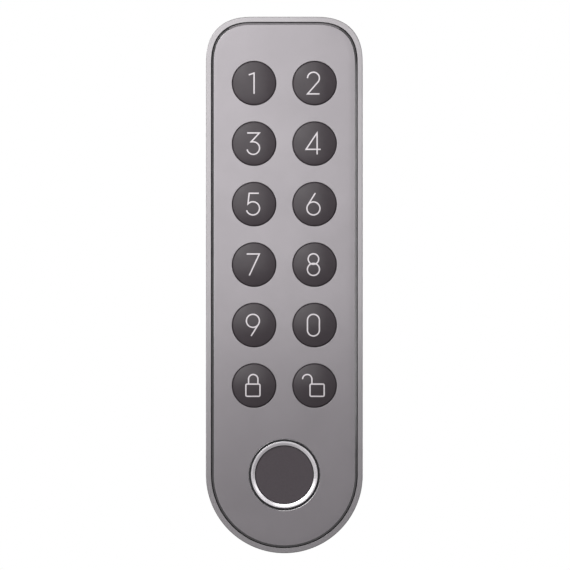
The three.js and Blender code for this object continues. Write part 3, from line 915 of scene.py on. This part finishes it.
def rear_housing():
    """A tub, open to the front, with the battery bay standing in it and the bracket's recess behind."""
    section = [
        (SKIRT, BACK_WALL[1]),
        (SKIRT, SKIRT_FRONT, 0.1),
        (REAR_INSET, SKIRT_FRONT, 0.15),
        (REAR_INSET, REAR.back, 0.6),
        (SKIRT, REAR.back, 0.2),
        (SKIRT, BACK_WALL[0]),
    ]
    tub = Shape().solid(outline(), rounded(section))
    made = tub.object("rear_tub", [FINISHES["rear_housing_black"]])
    bay_wall = 0.8
    bay = block(grown(BAY_X, bay_wall), grown(BAY_Y, bay_wall), (INSIDE, BAY_ROOF[1]), 1.2, 0.2)
    door_bed = block(grown(DOOR_X, 1.4), (-11, 47.6), (INSIDE, RECESS_FLOOR + 1), 1)
    posts, bores = screw_posts()
    for part in (bay, door_bed, lug_block(), posts):
        boolean(made, part, "UNION")
    for cut in (bores, *housing_openings()):
        boolean(made, cut, "DIFFERENCE")
    for side, y in LIPS:
        across = sided(side, LIP_INNER, DOOR_X[1] + 0.5)
        boolean(made, block(across, (y, y + LIP_LENGTH), (2.42, 2.85), 0.3, 0.1), "UNION")
    finished(made, "keypad", ["rear_housing"])


def battery_door():
    """Slides up until its notches meet the lips. Ribs across its lower end give a thumb a hold."""
    gap = 0.3  # from the door to a lip
    low, high = grown(BAY_Y, DOOR_LAP)
    middle = LIP_INNER - gap
    black = [FINISHES["rear_housing_black"]]
    made = block((-middle, middle), (low, high), (2.65, 3.45), 1.2, 0.15, "battery_cover", black)
    edges = block(DOOR_X, (low + 1.5, high - 1.5), (2.97, 3.43), 0.5)
    for side, y in LIPS:
        along = grown((y - DOOR_TRAVEL, y - DOOR_TRAVEL + LIP_LENGTH), gap)
        notch = block(sided(side, middle, DOOR_X[1] + PAST), along, (0, 4), 0.2)
        boolean(edges, notch, "DIFFERENCE")
    boolean(made, edges, "UNION")
    rib_x, rib_height, rib_pitch = (-6, 6), 0.7, 1.6
    for i in range(4):
        y = low + 3.7 + rib_pitch * i
        boolean(made, block(rib_x, (y, y + rib_height), (2.45, 2.9), 0.34, 0.12), "UNION")
    finished(made, "door", ["battery_door"])


def housing_seal():
    """A cord that is squeezed flat in the seam between the rear housing and the bezel."""
    outer, inner = 0.45, 1.5
    squeeze = 0.01  # how far the rubber is pressed into each shell
    low, high = SKIRT_FRONT - squeeze, BEZEL.back + squeeze
    profile = rounded([(outer, low), (outer, high), (inner, high), (inner, low)], closed=True)
    made = Shape().solid(outline(), profile, closed=True).object("seam_seal", [FINISHES["seal_rubber"]])
    finished(made, "keypad", ["housing_seal"])


# ---- Wall bracket and its pads ----

BRACKET_FRONT = 2
PAD_X = (-13, 13)
PADS = {"upper": (10, 38), "lower": (-38, -10)}
WALL_SLOTS = (52, -48)


def wall_slot(half, y, reach, back):
    """A vertical slot with round ends for a wall screw, from back out through the bracket's front."""
    return block((-half, half), (y - reach, y + reach), (back, BRACKET_FRONT + PAST), half - 0.01)


def hook(x, y):
    """A hook's stem and its lip, which turns up behind the keypad's back wall."""
    fine = 0.01  # keeps the two shapes' faces apart
    front = 5.5
    stem = block((x - HOOK_HALF, x + HOOK_HALF), (y - HOOK_STEM, y + HOOK_STEM), (1, front - 0.02), 0.2)
    across = (x - HOOK_HALF + fine, x + HOOK_HALF - fine)
    lip = block(across, (y - HOOK_STEM + fine, y + HOOK_STEM + 2.5), (4.1, front), 0.4, 0.3)
    return stem, lip


def bracket_lug():
    edge = 0.6
    profile = [(3, 0.04), (edge, 0.04, 0.2), (edge, LUG_FRONT, 0.3), (3, LUG_FRONT)]
    made = Shape().solid(outline(), rounded(profile)).object("lug")
    boolean(made, block(LUG_X, (BRACKET.bottom - PAST, LUG_TOP), (-PAST, 9), 0.5), "INTERSECT")
    return made


def wall_bracket():
    """A plate that stays on the wall, with four hooks and a lug for the security screw."""
    inset, middle = 2.35, 8
    profile = [(middle, 0), (inset, 0, 0.25), (inset, BRACKET_FRONT, 0.4), (middle, BRACKET_FRONT)]
    made = Shape().solid(outline(raised=LIFT + 1), rounded(profile))
    made = made.object("bracket_plate", [FINISHES["bracket_black"]])
    tongue = block(LUG_X, (-66, -56), (0.02, BRACKET_FRONT - 0.02), 0.3)
    for part in (tongue, bracket_lug(), *[part for spot in HOOKS for part in hook(*spot)]):
        boolean(made, part, "UNION")
    pad_gap, sunk = 0.4, 1.1
    cuts = [block(grown(PAD_X, pad_gap), grown(span, pad_gap), (-PAST, sunk), 2) for span in PADS.values()]
    for y in WALL_SLOTS:
        cuts += [wall_slot(1.9, y, 4, -PAST), wall_slot(3.4, y, 5.5, sunk)]
    head, shank = 2.5, 1.5
    seat = -66.3
    cuts.append(upright_rod([(head, BRACKET.bottom - 2), (head, seat), (shank, seat), (shank, -63)]))
    for cut in cuts:
        boolean(made, cut, "DIFFERENCE")
    finished(made, "bracket", ["wall_bracket"])


def adhesive_pads():
    for name, span in PADS.items():
        white = [FINISHES["adhesive_foam"]]
        made = block(PAD_X, span, (0.05, 1), 1.8, 0.12, f"foam_pad_{name}", white)
        finished(made, "bracket", [f"adhesive_pad_{name}"])


# ---- Screws and cells ----


def upright_rod(profile, steps=40):
    """A solid turned about the security screw's axis, for (radius, y) points from the bottom up."""
    shape = Shape()
    turned(shape, profile, security_axis, steps)
    return shape.object("upright_rod")


def security_axis(u, v, y):
    return (u, y, SCREW_D + v)


def turned(shape, sections, to_plan, steps=48):
    """Closed rings for (radius, distance along the axis). A radius may be a function of the turn."""
    turns = [2 * math.pi * i / steps for i in range(steps)]
    rings = []
    for radius, along in sections:
        reaches = [radius(t) if callable(radius) else radius for t in turns]
        spots = [(reach * math.cos(t), reach * math.sin(t)) for reach, t in zip(reaches, turns)]
        rings.append([shape.mesh.verts.new(place(*to_plan(u, v, along))) for u, v in spots])
    for first, second in zip(rings, rings[1:]):
        shape.band(first, second)
    shape.mesh.faces.new(rings[0])
    shape.mesh.faces.new(rings[-1])


def hexagon(apothem):
    sixth = math.pi / 3
    return lambda turn: apothem / math.cos(turn % sixth - sixth / 2)


def cross(half_width, reach):
    """A cross recess, as the radius at each turn."""

    def radius(turn):
        across, along = sorted((abs(math.cos(turn)), abs(math.sin(turn))))
        return min(reach / along, half_width / max(across, 1e-6))

    return radius


def screw(name, recess, head, shank, length, to_plan):
    """A screw whose recess, rounded head and helical thread follow its axis from the head's face.

    head is its radius and height, and shank is a radius.
    """
    radius, height = head
    sections = [(recess, height * 0.65), (recess, 0)]
    crown = [(radius - 0.45, 0), (radius, 0, 0.35), (radius, height, 0.06), (shank, height)]
    sections += rounded(crown)
    pitch, groove, per_turn = 0.75, 0.22, 8
    start, end = height + 0.4, length - 0.4
    count = round((end - start) / pitch * per_turn)

    def thread(i, along):
        fade = min(1, i / per_turn, (count - i) / per_turn)

        def at(turn):
            wave = abs(2 * ((along / pitch - turn / (2 * math.pi)) % 1) - 1)
            return shank - groove * fade * (1 - min(1, 1.6 * wave))

        return at

    for i in range(count + 1):
        along = start + (end - start) * i / count
        sections.append((thread(i, along), along))
    sections.append((shank * 0.55, length))
    shape = Shape()
    turned(shape, sections, to_plan)
    return shape.object(name, [FINISHES["screw_steel"]])


def screws():
    security = screw(
        "security_bolt",
        hexagon(0.87),
        head=(2.2, 1.2),
        shank=1.2,
        length=SCREW.top - SCREW.bottom,
        to_plan=lambda u, v, along: security_axis(u, v, SCREW.bottom + along),
    )
    finished(security, "security_screw", ["security_screw"])
    for i in range(4):
        spot = Place(f"housing_screw_{i + 1}")
        made = screw(
            f"case_screw_{i + 1}",
            cross(half_width=0.27, reach=1.2),
            head=(2, 1.5),
            shank=1,
            length=spot.front - spot.back,
            to_plan=lambda u, v, along, spot=spot: (spot.x + u, spot.y + v, spot.back + along),
        )
        finished(made, "keypad", [f"housing_screw_{i + 1}"])


def cells():
    """Three cells: a rolled jacket with a crimped shoulder, and a nub at one end."""
    bare_base, jacket_end = 0.2, 43.3  # the metal shows below the one and above the other
    corners = [
        (3.4, 0.12, 0.1),
        (3.9, 0, 0.1),
        (4.9, 0, 0.15),
        (5.25, 0.3, 0.15),
        (5.25, 43.1, 0.3),
        (4.6, 43.5, 0.1),
        (4.5, 43.35, 0.1),
        (2, 43.45, 0.1),
        (1.9, 44.5, 0.3),
    ]
    profile = rounded([(0.1, 0.12), *corners, (0.1, 44.5)])
    for i in range(3):
        spot = Place(f"battery_{i + 1}")
        nub_up = i != 1

        def to_plan(u, v, along, spot=spot, nub_up=nub_up):
            y = spot.bottom + along if nub_up else spot.top - along
            return (spot.x + u, y, (spot.back + spot.front) / 2 + v)

        shape = Shape()
        turned(shape, profile, to_plan, 64)
        made = shape.object(f"cell_{i + 1}", [FINISHES["battery_jacket"], FINISHES["contact_nickel"]])
        for polygon in made.data.polygons:
            along = polygon.center.z / MM - spot.bottom
            from_flat = along if nub_up else (spot.top - spot.bottom) - along
            if not bare_base < from_flat < jacket_end:
                polygon.material_index = 1
        finished(made, "keypad", [f"battery_{i + 1}"])


# ---- Carried-over CAD nodes ----


def smooth_sides():
    """A node group that shades a mesh smoothly, apart from its edges."""
    group = bpy.data.node_groups.new("smooth_sides", "GeometryNodeTree")
    for way in ("INPUT", "OUTPUT"):
        group.interface.new_socket("Geometry", in_out=way, socket_type="NodeSocketGeometry")
    nodes, links = group.nodes, group.links
    angle = nodes.new("GeometryNodeInputMeshEdgeAngle")
    sharp = nodes.new("FunctionNodeCompare")
    sharp.operation = "GREATER_THAN"
    sharp.inputs[1].default_value = EDGE_ANGLE
    faces = nodes.new("GeometryNodeSetShadeSmooth")
    faces.domain = "FACE"
    edges = nodes.new("GeometryNodeSetShadeSmooth")
    edges.domain = "EDGE"
    edges.inputs["Shade Smooth"].default_value = False
    links.new(angle.outputs["Unsigned Angle"], sharp.inputs[0])
    links.new(sharp.outputs["Result"], edges.inputs["Selection"])
    links.new(nodes.new("NodeGroupInput").outputs[0], faces.inputs["Geometry"])
    links.new(faces.outputs["Geometry"], edges.inputs["Geometry"])
    links.new(edges.outputs["Geometry"], nodes.new("NodeGroupOutput").inputs[0])
    return group


def soften(node, group):
    """Shades a carried-over CAD node smoothly, apart from its edges, and takes their sharpness off."""
    node.modifiers.new("shading", "NODES").node_group = group
    bevel = node.modifiers.new("edges", "BEVEL")
    bevel.width = 0.06 * MM
    bevel.segments = 2
    bevel.limit_method = "ANGLE"
    bevel.angle_limit = EDGE_ANGLE
    bevel.harden_normals = True


# ---- Floor, light and camera ----


def floor():
    """A pale disc a little below the keypad, which fades into the white around it."""
    drop = 30
    full, gone = 0.16, 0.40  # metres from the middle
    mesh = bpy.data.meshes.new("floor")
    height = (BEZEL.bottom - drop) * MM
    points = [(x, y, height) for x, y in circle(0, 0)(gone)]
    mesh.from_pydata(points, [], [range(len(points))])
    made = bpy.data.objects.new("floor", mesh)
    bpy.context.scene.collection.objects.link(made)
    made.visible_glossy = made.visible_diffuse = False
    finish = Finish("floor_pale", (0.34, 0.34, 0.34), 0.8, Emission_Strength=0.62)
    finish.shader.inputs["Emission Color"].default_value = (1, 1, 1, 1)
    length = finish.nodes.new("ShaderNodeVectorMath")
    length.operation = "LENGTH"
    finish.links.new(finish.coordinates, length.inputs[0])
    fade = finish.ranged(length.outputs["Value"], 1, 0, (full, gone))
    finish.links.new(fade, finish.shader.inputs["Alpha"])
    mesh.materials.append(finish.material)


def area_light(name, spot, target, width, height, power):
    data = bpy.data.lights.new(name, "AREA")
    data.shape = "RECTANGLE"
    data.size, data.size_y = width, height
    data.energy = power
    lamp = bpy.data.objects.new(name, data)
    bpy.context.scene.collection.objects.link(lamp)
    lamp.location = spot
    lamp.rotation_euler = (Vector(target) - Vector(spot)).to_track_quat("-Z", "Y").to_euler()
    lamp.visible_camera = False


def lights():
    """Soft panels close in front, glows for the ring, a strip at the right, lamps above and behind."""
    area_light("panel_lamp", (-0.088, -0.13, 0.085), (-0.088, 0, 0.085), 0.24, 0.20, 0.275)
    area_light("side_panel", (-0.10, -0.14, -0.10), (-0.10, 0, -0.10), 0.11, 0.17, 0.014)
    area_light("key_lamp", (-0.34, -0.62, 0.40), (0, 0, 0), 0.35, 0.35, 0.7)
    area_light("strip_lamp", (0.50, -0.145, 0.013), (0, -0.02, 0.013), 0.05, 0.13, 0.009)
    reader = (0, -0.02, RING.y * MM)
    area_light("glow_right", (0.33, -0.341, 0.15), reader, 0.16, 0.30, 0.13)
    area_light("glow_left", (-0.256, -0.341, 0.241), reader, 0.12, 0.12, 0.07)
    area_light("sky_lamp", (0.0, -0.124, 0.55), (0, -0.02, 0.06), 0.45, 0.12, 0.10)
    area_light("glow_top", (0.013, -0.341, 0.339), reader, 0.06, 0.10, 0.025)
    for side in (-1, 1):
        area_light(f"wall_lamp_{side + 2}", (0.62 * side, 0.40, 0.12), (0, 0, 0), 0.5, 0.5, 3.2)
    area_light("back_lamp", (0.5, 0.9, 0.7), (0, 0, 0), 0.6, 0.6, 3.0)


def surroundings():
    """White where the camera looks past the keypad; else a studio, light in front and behind."""
    world = bpy.data.worlds.new("studio")
    bpy.context.scene.world = world
    world.use_nodes = True
    nodes, links = world.node_tree.nodes, world.node_tree.links
    nodes.clear()
    output = nodes.new("ShaderNodeOutputWorld")

    def shade(colour):
        node = nodes.new("ShaderNodeBackground")
        node.inputs["Color"].default_value = (*colour, 1)
        return node.outputs["Background"]

    def blend(factor, first, second):
        node = nodes.new("ShaderNodeMixShader")
        links.new(factor, node.inputs["Fac"])
        links.new(first, node.inputs[1])
        links.new(second, node.inputs[2])
        return node.outputs["Shader"]

    def fade(start, end):
        node = nodes.new("ShaderNodeMapRange")
        node.interpolation_type = "SMOOTHSTEP"
        node.inputs["From Min"].default_value = start
        node.inputs["From Max"].default_value = end
        links.new(forward.outputs["Value"], node.inputs["Value"])
        return node.outputs["Result"]

    coordinates = nodes.new("ShaderNodeTexCoord")
    forward = nodes.new("ShaderNodeVectorMath")
    forward.operation = "DOT_PRODUCT"
    forward.inputs[1].default_value = (0, -1, 0)
    links.new(coordinates.outputs["Generated"], forward.inputs[0])
    dim = shade((0.085, 0.083, 0.085))
    behind = blend(fade(-0.15, -0.6), dim, shade((0.62, 0.62, 0.62)))
    room = blend(fade(0.2, 0.85), behind, shade((0.60, 0.586, 0.60)))
    path = nodes.new("ShaderNodeLightPath")
    seen = blend(path.outputs["Is Camera Ray"], room, shade((1, 1, 1)))
    links.new(seen, output.inputs["Surface"])


def camera():
    """Straight on, with a long lens."""
    distance = 1.5
    width = 145.2 * MM  # what the frame takes in at the front plate
    aside = 0.165 * MM
    data = bpy.data.cameras.new("camera")
    data.sensor_width = 36  # millimetres, like the lens
    data.lens = data.sensor_width * distance / width
    data.clip_start, data.clip_end = 0.05, 10
    made = bpy.data.objects.new("camera", data)
    bpy.context.scene.collection.objects.link(made)
    made.location = (aside, -PLATE.front * MM - distance, 0)
    made.rotation_euler = (math.pi / 2, 0, 0)
    bpy.context.scene.camera = made
    bpy.context.scene.view_settings.view_transform = "Standard"


# ---- The scene ----

camera()
surroundings()
lights()
floor()

bezel()
front_plate()
plate_gasket_and_gap_shade()
fingerprint_reader()
for key_name, key_place in KEYS.items():
    keycap(key_name, key_place)
    key_mark(key_name, key_place)
rear_housing()
battery_door()
housing_seal()
wall_bracket()
adhesive_pads()
screws()
cells()

SLOT_OF = {entry["node"]: entry["material_slot"] for entry in frame["record"]["subparts"]}
SHADING = smooth_sides()
for node_name, node in frame["nodes"].items():
    if node.hide_render:
        continue
    node.data.materials.clear()
    node.data.materials.append(FINISHES[SLOT_OF[node_name]])
    soften(node, SHADING)
